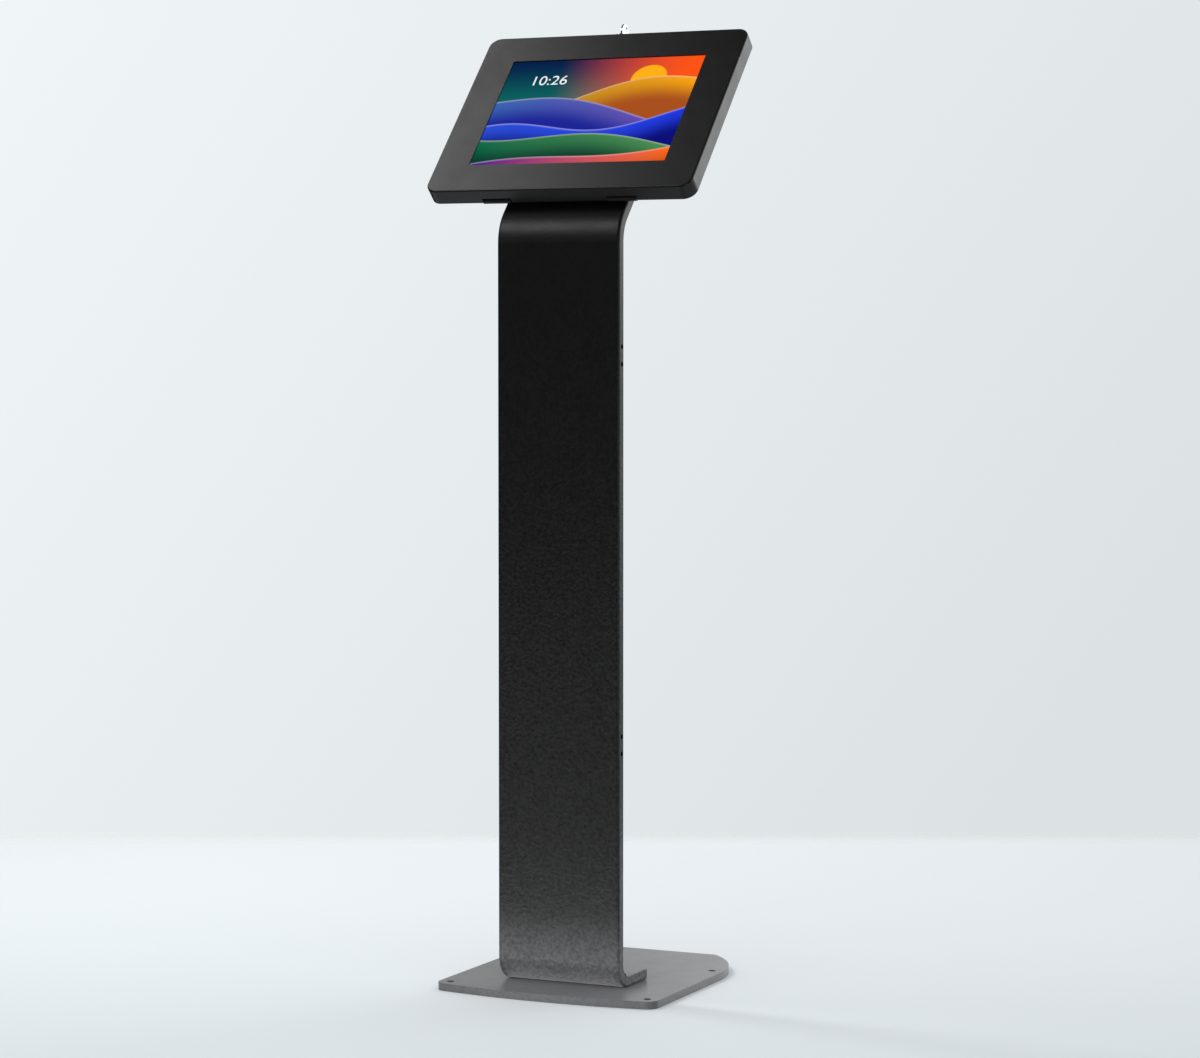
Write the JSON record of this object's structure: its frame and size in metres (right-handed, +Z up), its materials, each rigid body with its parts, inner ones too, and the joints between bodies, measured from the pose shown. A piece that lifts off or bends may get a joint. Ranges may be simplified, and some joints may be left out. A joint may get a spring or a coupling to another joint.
{
  "type": "tablet kiosk stand",
  "caption": "Floor-standing steel tablet kiosk: a flat base plate and a folded column carry a leaning enclosure with a hinged, lockable front cover over a tablet.",
  "frame": {"origin": "middle of the base plate's underside", "axes": "+Z up, +Y to the back, +X to the right of a person who faces the screen"},
  "size_m": [0.305, 0.282, 1.0267],
  "materials": {
    "powder_coat": "black powder coat with a fine grain, satin",
    "black_screws": "black oxide, satin",
    "zinc": "zinc plated steel",
    "rubber": "black rubber, matte",
    "plastic": "black moulded plastic, matte",
    "aluminium": "grey anodised, fine blasted",
    "screen": "polished cover glass over a lit display",
    "chrome": "polished chrome"
  },
  "bodies": {
    "stand": {"base_plate": "powder_coat", "column": "powder_coat", "rear_cover": "powder_coat", "rear_housing": "powder_coat", "foot_washers": "black_screws", "foot_bolts": "black_screws", "rear_cover_screws": "black_screws", "mount_bolts": "black_screws", "mount_washers": "black_screws", "holder_screws": "black_screws", "strike_screws": "black_screws", "strike": "zinc", "mount_nuts": "zinc", "hinge_pins": "zinc", "cable_grommet": "rubber", "corner_holders": "plastic", "tablet_shell": "aluminium", "tablet_glass": "screen"},
    "cover": {"front_cover": "powder_coat", "window_gasket": "rubber", "lock_body": "chrome", "lock_nut": "zinc"},
    "lock_plug": {"lock_plug": "chrome", "lock_cam": "zinc", "cam_screw": "zinc"},
    "key": {"key": "chrome"},
    "power_button": {"power_button": "aluminium"},
    "volume_up_button": {"volume_up_button": "aluminium"},
    "volume_down_button": {"volume_down_button": "aluminium"}
  },
  "joints": [
    {"name": "cover_hinge", "type": "hinge", "parent": "stand", "child": "cover", "pos_m": [0, -0.08698, 0.83205], "axis": [1, 0, 0], "range_deg": [0, 130]},
    {"name": "lock_turn", "type": "hinge", "parent": "cover", "child": "lock_plug", "pos_m": [0, 0.06762, 1.00921], "axis": [0, -0.682, -0.7314], "range_deg": [0, 180]},
    {"name": "key_slide", "type": "slide", "parent": "lock_plug", "child": "key", "axis": [0, 0.682, 0.7314], "range_m": [0, 0.02]},
    {"name": "power_press", "type": "slide", "parent": "stand", "child": "power_button", "axis": [1, 0, 0], "range_m": [0, 0.0004], "stiffness_N_per_m": 500},
    {"name": "volume_up_press", "type": "slide", "parent": "stand", "child": "volume_up_button", "axis": [0, -0.682, -0.7314], "range_m": [0, 0.0004], "stiffness_N_per_m": 500},
    {"name": "volume_down_press", "type": "slide", "parent": "stand", "child": "volume_down_button", "axis": [0, -0.682, -0.7314], "range_m": [0, 0.0004], "stiffness_N_per_m": 500}
  ]
}
